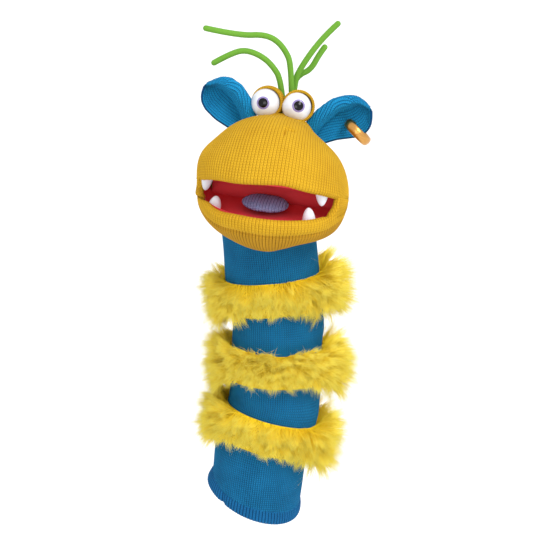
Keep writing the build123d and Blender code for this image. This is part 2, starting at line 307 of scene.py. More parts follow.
def hair_look(name):
    """Pile fibres, coloured along their length by the strand's own tint."""
    look = Look(name, Roughness=0.65, Specular_IOR_Level=0.25)
    tint = look.node("Attribute", {"attribute_name": "tint"}).outputs["Color"]
    value = look.plus(look.times(look.noise(140, 2.0), 0.3), 0.88)
    look.colour(look.node("HueSaturation", Value=value, Color=tint).outputs[0])
    return look.material


def hard_look(name, light, dark, scale, detail=2.0, depth=0.0, stretch=None, **sockets):
    """A smooth solid with a faint change of tone and, with a depth, a fine texture."""
    look = Look(name, **sockets)
    grain = look.noise(scale, detail, stretch)
    look.colour(look.mix(grain, dark, light))
    if depth:
        look.bump(grain, depth)
    return look.material


# Each knit's second colour is the painted shade in its stitch grooves; the first is the yarn on the crests.
BLUE = knit_look("blue_knit", linear(24, 120, 172), linear(0, 34, 60), 0.0007, ribbed=0.7, rows=0.75)
EAR_BLUE = knit_look("ear_knit", linear(28, 144, 200), linear(0, 60, 104), 0.0006, ribbed=0.75, rows=0.6)
BLUE_RIB = knit_look("blue_rib_knit", linear(20, 98, 150), linear(1, 36, 70), 0.0006, ribbed=0.8, rows=0.4)
YELLOW = knit_look("yellow_knit", linear(216, 170, 38), linear(168, 116, 12), 0.0006, ribbed=0.6, rows=0.55)
# The chin's knit is a darker copy of the yellow: painted shade under the chin.
SHADED_CHIN_YELLOW = knit_look("chin_knit_painted_shade", linear(190, 142, 34), linear(108, 72, 8), 0.0006, ribbed=0.85, rows=0.3)
PURPLE = knit_look("purple_knit", linear(184, 206, 255), linear(80, 90, 170), 0.001, ribbed=0.5, rows=0.9,
                   fuzz=0.0)
RED = felt_look("red_felt", linear(240, 82, 90), linear(226, 62, 72), 0.1)
WHITE = felt_look("white_felt", linear(240, 244, 252), linear(226, 230, 240), 0.2)
BACKING = felt_look("fur_backing", linear(224, 190, 40), linear(184, 148, 20), 0.1)
GREEN = felt_look("green_cord", linear(118, 170, 66), linear(86, 138, 42), 0.1, 0.00004)
HAIR = hair_look("fur_pile")
EYE_WHITE = hard_look("eye_white", linear(228, 230, 236), linear(216, 218, 226), 40,
                      Roughness=0.18, Coat_Weight=0.6, Coat_Roughness=0.05)
IRIS = hard_look("eye_iris", linear(160, 148, 196), linear(112, 96, 156), 900, 3.0,
                 Roughness=0.2, Specular_IOR_Level=0.3, Coat_Weight=0.2, Coat_Roughness=0.04)
PUPIL = hard_look("eye_pupil", linear(14, 12, 18), linear(4, 4, 6), 60,
                  Roughness=0.12, Specular_IOR_Level=0.2, Coat_Weight=0.12, Coat_Roughness=0.04)
GOLD = hard_look("gold_metal", linear(232, 180, 104), linear(176, 118, 52), 500, 3.0, 0.00008, (1, 1, 5),
                 Metallic=1.0, Roughness=0.3)
BOARD = hard_look("mouth_board", linear(186, 164, 130), linear(160, 136, 100), 700, 4.0, 0.0001,
                  Roughness=0.85)
WASHER = hard_look("washer_plastic", linear(232, 230, 222), linear(214, 212, 204), 200, Roughness=0.4)
STEEL = hard_look("steel_wire", linear(190, 192, 196), linear(150, 152, 158), 800,
                  Metallic=1.0, Roughness=0.35)


def finish_piece(obj, material, body=None, replaces=()):
    """Material, the CAD nodes it stands for and the body it rides on."""
    obj.data.materials.append(material)
    if replaces:
        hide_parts(*replaces)
    if body:
        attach(obj, body)
    return obj


# ---------------------------------------------------------------- sleeve
TUBE_R = 37.0              # outer radius of the worn sleeve
WALES, PER_WALE = 128, 4   # wales round the sleeve and columns of points in each
LINE_STEP = 0.25
LINE_Z = np.arange(-70.0, 262.0, LINE_STEP)
CUFF_LEAN = 7.0            # degrees that the cuff leans towards +x
HEM_DROP = 17.0            # from the origin down to the middle of the hem
HEM_RIGHT, HEM_FRONT = 8.23, 8.905   # the hem's +x side and its front hang lower by this much


def sleeve_line():
    """x and slope of the sleeve's middle line at each height of LINE_Z, its corners softened."""
    cuff_top, knee, waist = 22, 66, 130
    shoulder_x, shoulder_z = 12.4, 171
    lean = np.select([LINE_Z < cuff_top, LINE_Z < knee, LINE_Z < waist], [CUFF_LEAN, 14.9, 1.97], -5.85)
    slope = averaged(np.tan(np.radians(lean)), 26, "edge")
    x = np.cumsum(slope) * LINE_STEP
    return x - np.interp(shoulder_z, LINE_Z, x) + shoulder_x, slope


LINE_X, LINE_SLOPE = sleeve_line()


def line_at(height):
    """x of the middle line and its lean in radians at a height."""
    return np.interp(height, LINE_Z, LINE_X), np.arctan(np.interp(height, LINE_Z, LINE_SLOPE))


def on_tube(angle, height, radius):
    """Points round the sleeve: angle from +X towards +Y, height on the middle line, distance from it."""
    x, lean = line_at(height)
    out, side = radius * np.cos(angle), radius * np.sin(angle)
    return np.stack(np.broadcast_arrays(x + out * np.cos(lean), side, height - out * np.sin(lean)), -1)


def hem_height(angle):
    """Height of the slanting hem edge, on the middle line, at each angle."""
    level = -HEM_DROP - HEM_RIGHT * np.cos(angle) + HEM_FRONT * np.sin(angle)
    return level * math.cos(math.radians(CUFF_LEAN))


def folds(angle, height):
    """Slack of the knitted tube in millimetres: broad waves, and creases where it bends."""
    broad = 0.45 * np.sin(2 * angle + height / 19) + 0.3 * np.sin(3 * angle - height / 11 + 1.0)
    wrist = 0.8 * np.exp(-((height - 127 - 5 * np.sin(angle)) / 5) ** 2) * np.cos(angle - 2.6)
    knee = 0.7 * np.exp(-((height - 68 + 4 * np.sin(angle)) / 4) ** 2) * np.cos(angle - 0.4)
    return broad - wrist - knee


def knit_tube(name, low, high, radius):
    """Part of the sleeve as a tube of fine wales; low and high may change with the angle."""
    angle = angles(WALES * PER_WALE)
    low, high = np.broadcast_to(low, angle.shape), np.broadcast_to(high, angle.shape)
    rows = int((high - low).max() / 1.25) + 2
    height = low + (high - low) * np.linspace(0, 1, rows)[:, None]
    u = np.arange(len(angle) + 1) / PER_WALE
    reach = radius + groove(u[:-1], 0.35) + folds(angle, height) * smooth(high - height, -1, 8)
    return grid_piece(name, on_tube(angle, height, reach), u, closed(height) / COURSE, wrap=True)


def sleeve():
    """The firm tube, which rides on the sleeve, and above it the stretch of knit up to the shoulder.

    The two overlap under the middle fur band, and the tube starts inside the hem band.
    """
    start = hem_height(angles(WALES * PER_WALE)) + 9.6
    lower = knit_tube("sleeve_tube", start, 104.0, TUBE_R)
    finish_piece(lower, BLUE, "sleeve", ["sleeve_knit"])
    waist = knit_tube("sleeve_wrist", 99.0, 168.0, TUBE_R - 0.6)
    finish_piece(waist, BLUE, None, ["waist_knit", "shoulder_knit"])
    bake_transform(waist)


def hem():
    """The ribbed band round the arm opening: outside, rolled edge and the part turned in."""
    wales, per = 90, 8
    angle = angles(wales * per)
    profile = rounded([(-2.4, 30), (-2.1, 8), (-1.9, 3.5), (-1.2, 1), (-0.4, 0.1), (0.6, 0.2), (1.2, 1.4),
                       (1.35, 3.4), (1.1, 7.8), (0.2, 10.6), (-0.4, 11.2)], 46)
    out, up = profile[:, :1], profile[:, 1:]
    low = 1 - smooth(up, 0, 11)
    flare = 2.6 * np.exp(-((angle - math.pi) / 0.75) ** 2) + 0.5 * np.sin(3 * angle)
    crease = 1.3 * np.exp(-((angle - TAU + 2.35) / 0.07) ** 2)
    u = np.arange(wales * per + 1) / per
    ribs = groove(u[:-1], 0.55) * (out > -1.5)
    radius = TUBE_R + out + flare * low - crease * (0.4 + low) + ribs
    points = on_tube(angle, hem_height(angle) + up, radius)
    piece = grid_piece("hem_band", points, u, run_along(profile)[:, None] / COURSE, wrap=True)
    finish_piece(piece, BLUE_RIB, "sleeve", ["cuff_hem"])


# ---------------------------------------------------------------- fur bands
FUR_HALF = 12.5                              # the roots reach this far above and below the band's middle
ROOT_R = 39.0
ALONG = np.array([0.0, 0.3, 0.62, 1.0])      # shares of a strand's length at its four points
TUFTS = 300
FUR_BANDS = {   # height of the middle, body, random seed, and how far the front is combed down (below 0: up)
    "lower": (42.5, "sleeve", 10, 1.0),
    "middle": (97.0, "sleeve", 20, -0.35),
    "upper": (155.5, "torso", 30, 1.0),
}


def tuft_plan(rng, combed):
    """Angle, level, rise, length and swing of each tuft; the tufts go seven times round the band."""
    around = (np.arange(TUFTS) + rng.uniform(-0.5, 0.5, TUFTS)) * TAU / TUFTS * 7
    level = rng.uniform(-FUR_HALF, FUR_HALF, TUFTS)
    front, side = smooth(-np.sin(around), 0.1, 0.9), smooth(np.abs(np.cos(around)), 0.6, 1.0)
    top = (level + FUR_HALF) / (2 * FUR_HALF)
    level += 0.4 * front * (FUR_HALF - level)
    rise = -50 + 66 * top + 24 * side - front * combed * (22 + 34 * top) + rng.normal(0, 16, TUFTS)
    length = rng.uniform(16.0, 23.0, TUFTS) * (1 - 0.2 * front) * (1 + 0.3 * side + 0.14 * np.cos(around))
    swing = rng.normal(0, 0.32, TUFTS)
    return around, level, np.radians(rise), length, swing


def strand_lines(rng, count, combed):
    """Four points along each strand, from root to tip, and the angle round the band at each of them."""
    around, level, rise, length, swing = tuft_plan(rng, combed)
    tuft = rng.integers(0, TUFTS, count)
    spread = rng.normal(0, 1, (count, 2)) * np.array([2.9 / 40, 2.4])
    angle, height = around[tuft] + spread[:, 0], np.clip(level[tuft] + spread[:, 1], -14, 14)
    stray = rng.random(count) < 0.1
    clump = np.where(stray, 0.25, rng.uniform(0.66, 0.92, count))
    aim = rise[tuft] + np.where(stray, rng.normal(0, 0.35, count), rng.normal(0, 0.08, count))
    sway = swing[tuft] + np.where(stray, rng.normal(0, 0.4, count), rng.normal(0, 0.08, count))
    size = length[tuft] * rng.uniform(0.72, 1.05, count) * np.where(stray, 0.95, 1.0)
    bend = (aim[:, None] - 0.55 * ALONG)[:, :-1]
    steps = np.diff(ALONG) * size[:, None]
    pull = clump[:, None] * ALONG
    turned = angle[:, None] - spread[:, :1] * pull + sway[:, None] * ALONG ** 1.5 * size[:, None] / 45
    up = height[:, None] - (height - level[tuft])[:, None] * pull + from_zero(np.sin(bend) * steps)
    radius = ROOT_R + from_zero(np.cos(bend) * steps)
    return np.stack([radius * np.cos(turned), radius * np.sin(turned), up], -1), turned


def strand_tubes(rng, line, turned):
    """Points and triangles of a three-sided tube round each strand, tapering to one point at the tip."""
    count = len(line)
    thick = rng.uniform(0.15, 0.23, count)[:, None] * np.array([1.0, 0.9, 0.6])
    side = np.stack([-np.sin(turned), np.cos(turned), 0 * turned], -1)[:, :3]
    along = np.gradient(line, axis=1)[:, :3]
    up = np.cross(along / np.linalg.norm(along, axis=-1, keepdims=True), side)
    ring = angles(3)[:, None]
    spoke = np.cos(ring) * side[:, :, None] + np.sin(ring) * up[:, :, None]
    rings = line[:, :3, None] + thick[..., None, None] * spoke
    points = np.concatenate([rings.reshape(count, 9, 3), line[:, 3:]], 1)
    strand = []
    for low in (0, 3):
        for k in range(3):
            a, b = low + k, low + (k + 1) % 3
            strand += [(a, b, b + 3), (a, b + 3, a + 3)]
    strand += [(6 + k, 6 + (k + 1) % 3, 9) for k in range(3)]
    faces = np.arange(count)[:, None, None] * 10 + np.array(strand)
    return points.reshape(-1, 3), faces.reshape(-1, 3)


def strand_tints(rng, count):
    """The tint of each of a strand's ten points, deep yellow at the root and pale at the tip."""
    root, tip = np.array(linear(254, 218, 30)), np.array(linear(254, 246, 118))
    paler = np.repeat(ALONG ** 1.6, [3, 3, 3, 1]) * rng.uniform(0.55, 1.0, (count, 1))
    tint = root + (tip - root) * paler[..., None]
    tint[..., :3] *= rng.uniform(0.86, 1.08, (count, 1, 1))
    return tint.reshape(-1, 4)


def fur_band(word, height, body, seed, combed):
    """A padded backing and two piles of strands round the sleeve."""
    x, lean = line_at(height)
    matrix = shift(x, 0, height) @ turn("Y", math.degrees(lean))
    ring = rounded([(36.9, -13.5), (38.5, -13.5), (40.6, -10), (41.6, -4),
                    (41.6, 4), (40.6, 10), (38.5, 13.5), (36.9, 13.5)], 30)
    base = lathe(word + "_fur_backing", ring, 180, matrix, 120, 2.0)
    finish_piece(base, BACKING, body, [word + "_fur_band"])
    count = 12500
    for k in (1, 2):
        rng = np.random.default_rng(seed + k)
        points, faces = strand_tubes(rng, *strand_lines(rng, count, combed))
        tint = strand_tints(rng, count)
        pile = mesh_piece(f"{word}_fur_pile_{k}", placed(matrix, points), faces, tint=tint)
        finish_piece(pile, HAIR, body)


def fur():
    for word, band in FUR_BANDS.items():
        fur_band(word, *band)


# ---------------------------------------------------------------- shape of the head and the chin
MIDDLE = np.array([3.0, 0.0, 0.0])   # both skins are fanned from here, in the head's or the jaw's frame
FAN_R = 62.0                         # turns an angle of the fan into a length on the skin
RIBS, PER_RIB = 92, 5                # wales of a skin and columns of points in each
CURL_ROWS = 16                       # rows of points round a rolled lip
LIP_ROWS = 8                         # rows below the roll that belong to the lower lip's band

# Eggs as a middle and the sizes to each side, ahead, behind, above and below it. The cores lie under the
# skins and say where the neck's tube has gone inside.
HEAD_EGG = (3, -20, 0), (59.3, 59.8, 73.0, 56.8, 40.0)
CHIN_EGG = (3, -22, 0), (58.9, 58.0, 62.0, 40.0, 37.5)
HEAD_CORE = (3, -20, 0), (57.0, 57.5, 70.5, 54.0, 37.5)
CHIN_CORE = (3, -22, 0), (56.0, 55.5, 58.0, 34.0, 34.8)

# How the stuffing swells each half, as (degrees round the face from its +x side, share of the egg).
HEAD_PUFF = [(0, 1.0), (30, 0.975), (50, 0.935), (60, 0.94), (70, 0.985), (85, 1.01), (120, 1.025),
             (145, 1.015), (160, 1.06), (170, 1.04), (180, 1.0)]
CHIN_PUFF = [(180, 0.983), (230, 0.985), (260, 1.06), (280, 1.06), (290, 0.985), (310, 0.905),
             (320, 0.92), (335, 1.0), (345, 1.015), (360, 1.01)]


def fan(alpha, phi):
    """Unit directions: alpha from the right mouth corner to the left one, phi up from the lip plane."""
    spread = np.broadcast_arrays(np.cos(alpha), -np.sin(alpha) * np.cos(phi), np.sin(alpha) * np.sin(phi))
    return np.stack(spread, -1)


def egg_level(points, sizes):
    """Below 1 inside an egg about the origin and above 1 outside."""
    wide, ahead, behind, above, below = sizes
    depth = np.where(points[..., 1] < 0, ahead, behind)
    tall = np.where(points[..., 2] > 0, above, below)
    return (points[..., 0] / wide) ** 2 + (points[..., 1] / depth) ** 2 + (points[..., 2] / tall) ** 2


def egg_reach(direction, egg):
    """How far from MIDDLE the surface of an egg lies along each direction, found by halving."""
    mid, sizes = egg
    near, far = np.zeros(direction.shape[:-1]), np.full(direction.shape[:-1], 150.0)
    for _ in range(34):
        half = (near + far) / 2
        beyond = egg_level(MIDDLE + direction * half[..., None] - mid, sizes) > 1
        near, far = np.where(beyond, near, half), np.where(beyond, half, far)
    return near


def puffed(direction, puffs):
    """How much a stuffed half swells or shrinks: most at the rim of the face and fading behind it."""
    knots, shares = np.array(puffs, float).T
    reach = 10   # degrees to each side over which the knots are rounded off
    soft = np.hanning(2 * reach + 1)
    every_degree = np.interp(np.arange(-reach, 181 + reach), knots - knots[0], shares)
    size = np.convolve(every_degree, soft / soft.sum(), "valid")
    angle = np.degrees(np.arctan2(direction[..., 2], direction[..., 0])) - knots[0]
    swell = np.interp(angle % 360, np.arange(181), size) - 1
    rim = smooth(np.hypot(direction[..., 0], direction[..., 2]), 0.3, 0.92)
    return 1 + swell * rim * (1 - smooth(direction[..., 1], 0.15, 0.75))


def eye_seat(direction):
    """The low swelling on top of the head that the eyes sit on."""
    spread = ((direction[..., 0] + 0.03) / 0.44) ** 4 + ((direction[..., 1] - 0.1) / 0.22) ** 4
    return 6.0 * np.exp(-spread) * (direction[..., 2] > 0)


def head_reach(alpha, phi):
    direction = fan(alpha, phi)
    return egg_reach(direction, HEAD_EGG) * puffed(direction, HEAD_PUFF) + eye_seat(direction)


def chin_reach(alpha, phi):
    """Reach of the chin, which passes into the head's own at the mouth's corners and at the rear edge."""
    direction = fan(alpha, phi)
    own = egg_reach(direction, CHIN_EGG) * puffed(direction, CHIN_PUFF)
    shared = head_reach(alpha, phi - math.radians(MOUTH_OPEN))
    rear = smooth(-phi, math.radians(45), math.radians(88))
    corner = 1 - smooth(np.sin(alpha), 0.05, 0.6)
    share = np.maximum(rear, corner)
    return own * (1 - share) + shared * share


def wave_upper(across):
    """Height of the upper lip's edge over the lip plane, across the mouth."""
    return 2.1 * np.exp(-((across - 14) / 13) ** 2) - 0.9 * np.exp(-((across + 22) / 12) ** 2)


def wave_lower(across):
    return -3.4 * np.exp(-((across + 38) / 13) ** 2)


def lip_upper(width):
    """Radius of the rolled upper lip, from the sine of alpha; it is nearly flat at the mouth's corners."""
    return 0.15 + 3.6 * smooth(width, 0.48, 0.66)


def lip_lower(width):
    return 0.15 + 3.9 * smooth(width, 0.62, 0.79)


def lower_band(alpha, phi, run):
    """The rounded lip band, the seam groove under it and the rear edge tucked in under the head."""
    open_part = smooth(np.sin(alpha), 0.66, 0.9)
    band = 1.3 * np.exp(-((run - 2.0) / 4.2) ** 4) - 1.5 * np.exp(-((run - 7.6) / 1.6) ** 2)
    tuck = 1.8 * smooth(-phi, math.radians(84), math.radians(92))
    return band * open_part - tuck


def brow_tuck(alpha, phi, run):
    """A small stitched tuck on the brow: a short fold downwards and one across its top."""
    a, p = np.degrees(alpha), np.degrees(phi)
    down = np.exp(-((a - 84) / 0.8) ** 2 - ((p - 37) / 3.4) ** 4)
    across = np.exp(-((a - 81.2) / 3.0) ** 4 - ((p - 40.4) / 1.3) ** 2)
    return -2.6 * np.maximum(down, across)


# ---------------------------------------------------------------- head and jaw skins
def rim_axes(edge, inner, direction):
    """Unit vectors at a rim: along the skin away from the opening, and outwards at right angles to that."""
    along = inner - edge
    along /= np.linalg.norm(along, axis=-1, keepdims=True)
    out = direction - along * np.sum(direction * along, -1, keepdims=True)
    return along, out / np.linalg.norm(out, axis=-1, keepdims=True)


def skin(reach, sense, end, rows, lip, inward, wave, shape):
    """Points, wales, courses and course scale of a skin fanned between the mouth's corners.

    It runs from inwards of the rolled lip round to the angle end. reach plus shape is the distance from
    MIDDLE, lip the radius of the roll, wave the height of its edge and sense the way up.
    """
    columns = RIBS * PER_RIB + 1
    alpha = np.radians(np.linspace(0.4, 179.6, columns))
    u = np.linspace(0, RIBS, columns)
    ribs = groove(u, 0.5 * smooth(np.sin(alpha), 0.05, 0.35))
    roll = lip(np.sin(alpha))
    rim = reach(alpha, 0 * alpha)
    first = (sense * roll + wave(rim * np.cos(alpha))) / rim
    phi = first + (end - first) * np.linspace(0, 1, rows)[:, None] ** 1.06
    direction = fan(alpha, phi)
    run = np.abs(phi - first) * FAN_R
    far = reach(alpha, phi) + shape(alpha, phi, run)
    surface = MIDDLE + direction * (far + ribs * (1 - 0.5 * smooth(run, 20, 80)))[..., None]
    edge, inner = (MIDDLE + direction[row] * far[row][:, None] for row in (0, 1))
    along, out = rim_axes(edge, inner, direction[0])
    beta = np.radians(np.linspace(205, 12, CURL_ROWS))[:, None, None]
    spoke = out * np.cos(beta) - along * np.sin(beta)
    curl = edge - out * roll[:, None] + spoke * (roll + ribs)[:, None]
    deep = curl[:1] + along * inward - out * 0.6
    back = -beta[:, 0] * roll - 0.3
    v = np.concatenate([back[:1] - inward, back, run]) / COURSE
    scale = np.sin(alpha[PER_RIB // 2::PER_RIB]).repeat(PER_RIB)[:columns - 1]
    return np.concatenate([deep, curl, surface]), u, v, scale


def outside_neck(points, world, level):
    """True for the quads of a skin above level, in its own frame, or outside the neck's tube."""
    x, _ = line_at(np.clip(world[..., 2], 150, 262))
    clear = (points[..., 2] >= level) | (np.hypot(world[..., 0] - x, world[..., 1]) > 34.0)
    return clear[:-1, :-1] | clear[1:, 1:]


def head_skin():
    """The upper muzzle, crown and back of the head in one piece, down to the chin's rear edge."""
    end = math.radians(255.5)
    points, u, v, scale = skin(head_reach, 1, end, 178, lip_upper, 5.0, wave_upper, brow_tuck)
    world = placed(HEAD, points)
    piece = grid_piece("head_skin", world, u, v, scale, keep=outside_neck(points, world, -8))
    finish_piece(piece, YELLOW, "head", ["head_cover", "head_padding"])


def chin_skin():
    """The lower lip's band and the finer ribs below its seam."""
    end = math.radians(-96)
    points, u, v, scale = skin(chin_reach, -1, end, 92, lip_lower, 4.0, wave_lower, lower_band)
    points, u, v, scale = points[:, ::-1], u[::-1], v[:, ::-1], scale[::-1]
    world = placed(JAW, points)
    clear = outside_neck(points, world, -12)
    band = (np.arange(len(points) - 1) < 1 + CURL_ROWS + LIP_ROWS)[:, None]
    # The chin below the lip band gets the darker yellow, which is painted shade under the chin.
    for name, part, material, nodes in (
            ("lower_lip_band", band, YELLOW, ["left_cheek_knit", "right_cheek_knit"]),
            ("chin_skin", ~band, SHADED_CHIN_YELLOW, ["jaw_cover", "jaw_padding"])):
        piece = grid_piece(name, world, u, v, scale, keep=clear & part)
        finish_piece(piece, material, None, nodes)
        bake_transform(piece)


def mouth_corner(word, side):
    """The stretch of knit that closes the mouth's corner, with a rolled front edge."""
    roll = 3.0
    first = math.radians(1)
    phi = np.radians(np.linspace(4, -MOUTH_OPEN - 5, 26))[:, None]
    part = smooth(-np.degrees(phi), 2, MOUTH_OPEN)
    limit = np.arcsin((0.59 if side > 0 else 0.48) + 0.1 * part ** 3)
    alpha = first + (limit - first) * np.linspace(0, 1, 110)
    if side < 0:
        alpha = math.pi - alpha
    down = smooth(-phi, 0, math.radians(MOUTH_OPEN))
    lower = chin_reach(alpha, phi + math.radians(MOUTH_OPEN))
    reach = head_reach(alpha, phi) * (1 - down) + lower * down - 0.25
    direction = fan(alpha, phi)
    u = alpha / math.pi * RIBS
    web = MIDDLE + direction * (reach + groove(u, 0.4))[..., None]
    edge, inner = (MIDDLE + direction[:, column] * reach[:, column, None] for column in (-1, -3))
    along, out = (axis[:, None] for axis in rim_axes(edge, inner, direction[:, -1]))
    beta = np.radians(np.linspace(12, 205, 14))[None, :, None]
    curl = edge[:, None] - out * roll + roll * (out * np.cos(beta) - along * np.sin(beta))
    deep = curl[:, -1:] + along * 5
    points = np.concatenate([web, curl, deep], 1)
    u = np.concatenate([u, u[:, -1:] + side * 0.3 * np.arange(1, 16)], 1)
    narrowing = 0.537   # the fan's wales are about this share of their full width near the corner
    v = narrowing * phi * FAN_R / COURSE
    piece = grid_piece(word + "_mouth_corner", placed(HEAD, points), u, v)
    finish_piece(piece, YELLOW, None)
    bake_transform(piece)


def inside_skins(points):
    """True where a point is well inside the head or the chin."""
    found = np.zeros(points.shape[:-1], bool)
    for matrix, (mid, sizes) in ((HEAD, HEAD_CORE), (JAW, CHIN_CORE)):
        local = (points - matrix[:3, 3]) @ matrix[:3, :3] - mid
        found |= egg_level(local, sizes) < 1
    return found


def neck():
    """The neck's tube, from under the upper fur up to where the head and the chin cover it."""
    highest, covered = 236.0, 9.0
    heights = np.arange(186.0, highest, 0.5)
    hit = inside_skins(on_tube(angles(WALES * PER_WALE), heights[:, None], TUBE_R))
    top = np.where(hit.any(0), heights[hit.argmax(0)], highest)
    piece = knit_tube("neck_tube", 160.0, averaged(top, 7, "wrap") + covered, TUBE_R + 0.6)
    finish_piece(piece, BLUE, None, ["neck_knit", "throat_knit"])
    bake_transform(piece)


# ---------------------------------------------------------------- mouth
def mouth_dish(word, matrix, body, mid_y, wide, ahead, behind, sense):
    """The felt that lines one half of the mouth: steep at the rim, flat in the middle, open at the back."""
    back_y = -5.0
    t = np.linspace(0, 1, 64)[:, None]
    y = (mid_y - ahead) * (1 - t) ** 1.6 + back_y * (1 - (1 - t) ** 1.6)
    depth = np.where(y < mid_y, ahead, behind)
    half = wide * np.sqrt(np.clip(1 - ((y - mid_y) / depth) ** 2, 0, 1))
    x = 3 + np.sin(np.linspace(-math.pi / 2, math.pi / 2, 96)) * half
    level = np.clip(((x - 3) / wide) ** 2 + ((y - mid_y) / depth) ** 2, 0, 1)
    z = sense * (7.2 * (1 - level ** 4) ** 0.6 + 0.5 + 0.15 * np.sin(x / 5 + y / 9))
    points = np.stack(np.broadcast_arrays(x, y, z), -1)[:, ::-sense]
    piece = grid_piece(word + "_mouth_felt", placed(matrix, points))
    finish_piece(piece, RED, body, [word + "_mouth_lining"])


def mouth():
    """The two lined halves and the felt that rolls round the fold between them."""
    mouth_dish("upper", HEAD, "head", -20, 54.5, 55.0, 68.0, 1)
    mouth_dish("lower", JAW, "jaw", -22, 53.0, 53.0, 70.0, -1)
    around = np.radians(np.linspace(122, -122 - MOUTH_OPEN, 30))[:, None]
    x = 3 + np.linspace(-49, 49, 40)
    size = 9.2 - 0.5 * np.cos(x / 13)
    points = np.stack(np.broadcast_arrays(x, -size * np.cos(around), size * np.sin(around)), -1)
    piece = grid_piece("mouth_fold_felt", placed(HEAD, points))
    finish_piece(piece, RED, None, ["mouth_fold"])
    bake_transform(piece)


FANGS = {   # x, y, radius, length and lean of each
    "upper_left": (-46.6, -33.5, 4.8, 15.2, -3),
    "upper_right": (43.2, -46.0, 5.3, 15.6, 6),
    "lower_left": (-37.5, -45.0, 5.0, 10.4, 8),
    "lower_right": (37.2, -51.0, 5.2, 13.0, -7),
}


def fangs():
    """Stuffed felt fangs: rounded cones, a little crooked, standing on the mouth's felt."""
    felt_level = 6.9
    for word, (x, y, size, length, lean) in FANGS.items():
        if word.startswith("upper"):
            body, place = "head", HEAD @ shift(x, y, felt_level) @ turn("X", 180)
        else:
            body, place = "jaw", JAW @ shift(x, y, -felt_level)
        t = np.linspace(0, 1, 26)
        radius = size * (1 - t ** 2.2) ** 0.58
        profile = np.stack([np.maximum(radius, 0.02), length * t], -1)
        piece = lathe(word + "_fang_felt", profile, 40, place @ turn("Y", lean))
        finish_piece(piece, WHITE, body, [word + "_fang"])


def tongue():
    """A stuffed oval of fine purple knit on the floor of the mouth, with a shallow crease along it."""
    half_width, half_length, half_height = 18.2, 17.2, 5.6
    wale = 2.4
    polar = np.radians(np.linspace(-89.5, 89.5, 90))[:, None]
    around = angles(240)
    x = half_width * np.cos(polar) * np.cos(around)
    y = half_length * np.cos(polar) * np.sin(around)
    z = half_height * np.sin(polar)
    z = z * (1 - 0.12 * np.exp(-(x / 5) ** 2)) + groove(x / wale, 0.35) * (z > 0)
    points = np.stack([x, y - 32.0, z - 1.2], -1)
    u, v = points[..., 0] / wale, points[..., 1] / 2.2 + points[..., 2] / 1.5
    piece = grid_piece("tongue_knit", placed(JAW, points), closed(u), closed(v), wrap=True)
    finish_piece(piece, PURPLE, "jaw", ["tongue_cover", "tongue_filling"])


# ---------------------------------------------------------------- eyes
EYE_R, IRIS_R, PUPIL_R = 11.6, 5.0, 3.7
EYE_MID_X, EYE_X, EYE_Y, EYE_Z = -2.0, 12.3, -1.0, 67.2      # in the head's frame, EYE_X to each side
EYES = {"left": (-1, 4.0, 5.5), "right": (1, 14.0, -1.5)}   # side, degrees outwards and degrees below


def cap_profile(radius, start, stop, count):
    """Part of a circle from one angle off the pole to another."""
    at = np.radians(np.linspace(start, stop, count))
    return np.stack([radius * np.sin(at), radius * np.cos(at)], -1)


def cup_profile():
    """The knitted cup from inside its rim, round the rim and over the closed back."""
    bend = np.radians(np.linspace(0, 89.5, 12))
    back = np.stack([13.2 * np.cos(bend) ** 0.82, -1.5 - 16.3 * np.sin(bend) ** 0.82], -1)
    return rounded([(10.6, 2.6), (11.3, 3.9), (12.2, 3.9), (12.9, 2.2), *back], 52)


def eyes():
    """Glossy domes with a purple ring and a black dot, a hair proud of each other, each in a knitted cup."""
    iris_at, pupil_at = (math.degrees(math.asin(radius / EYE_R)) for radius in (IRIS_R, PUPIL_R))
    parts = (
        ("white", cap_profile(EYE_R, 112, iris_at - 0.3, 40), EYE_WHITE, "eye_white", "eyeball"),
        ("ring", cap_profile(EYE_R + 0.03, iris_at + 0.2, pupil_at - 0.2, 8), IRIS, "eye_purple", "iris"),
        ("dot", cap_profile(EYE_R + 0.06, pupil_at + 0.2, 0.05, 12), PUPIL, "eye_black", "pupil"))
    for word, (side, outwards, below) in EYES.items():
        place = HEAD @ shift(EYE_MID_X + side * EYE_X, EYE_Y, EYE_Z)
        place = place @ turn("Z", side * outwards) @ turn("X", 90 + below)
        for part, profile, material, slot, node in parts:
            piece = lathe(f"{word}_eye_{part}", profile, 96, place)
            finish_piece(piece, material, "head", [f"{word}_{node}"])
        cup = lathe(word + "_eye_cup", cup_profile(), 270, place @ shift(1.4, 0.9, 0), 54, 1.6, 0.3)
        finish_piece(cup, YELLOW, "head", [word + "_eye_mound"])


# ---------------------------------------------------------------- ears and earring
def ear_leaf(upper, lower, flap):
    """Points of a folded leaf: a hollow back panel whose upper edge rolls forward and down into a flap.

    upper and lower are the panel's edges as (x, z), and flap is the flap's width as (x, width).
    """
    upper, lower, flap = (np.array(line, float).T for line in (upper, lower, flap))
    t = np.linspace(0, 1, 70)[:, None]
    x = upper[0, 0] + (upper[0, -1] - upper[0, 0]) * (1 - (1 - t) ** 1.35)
    top, bottom = (evened(np.interp(x, *line), 10) for line in (upper, lower))
    width = top - bottom
    sign = np.sign(width.mean())
    q = np.linspace(0, 1, 60)
    panel_z = bottom + width * q
    panel_y = 7.5 * np.sqrt(np.clip(np.abs(width) / 30, 0, 1)) * (1 - (2 * q - 1) ** 2)
    fold = 2.9 * np.clip(np.abs(width) / 22, 0.15, 1)
    bend = np.radians(np.linspace(12, 176, 18))
    roll_z = top + sign * fold * np.sin(bend) * 0.9
    roll_y = -fold * (1 - np.cos(bend))
    s = np.linspace(0.06, 1, 22)
    flap_z = top - sign * np.interp(x, *flap) * s
    flap_y = -2 * fold + 1.9 * fold * smooth(s, 0.25, 1.0) - 0.6 * np.sin(math.pi * s)
    y = np.concatenate([panel_y, roll_y, flap_y], 1)
    z = np.concatenate([panel_z, roll_z, flap_z], 1)
    return np.stack([x + 0 * z, y, z], -1), sign


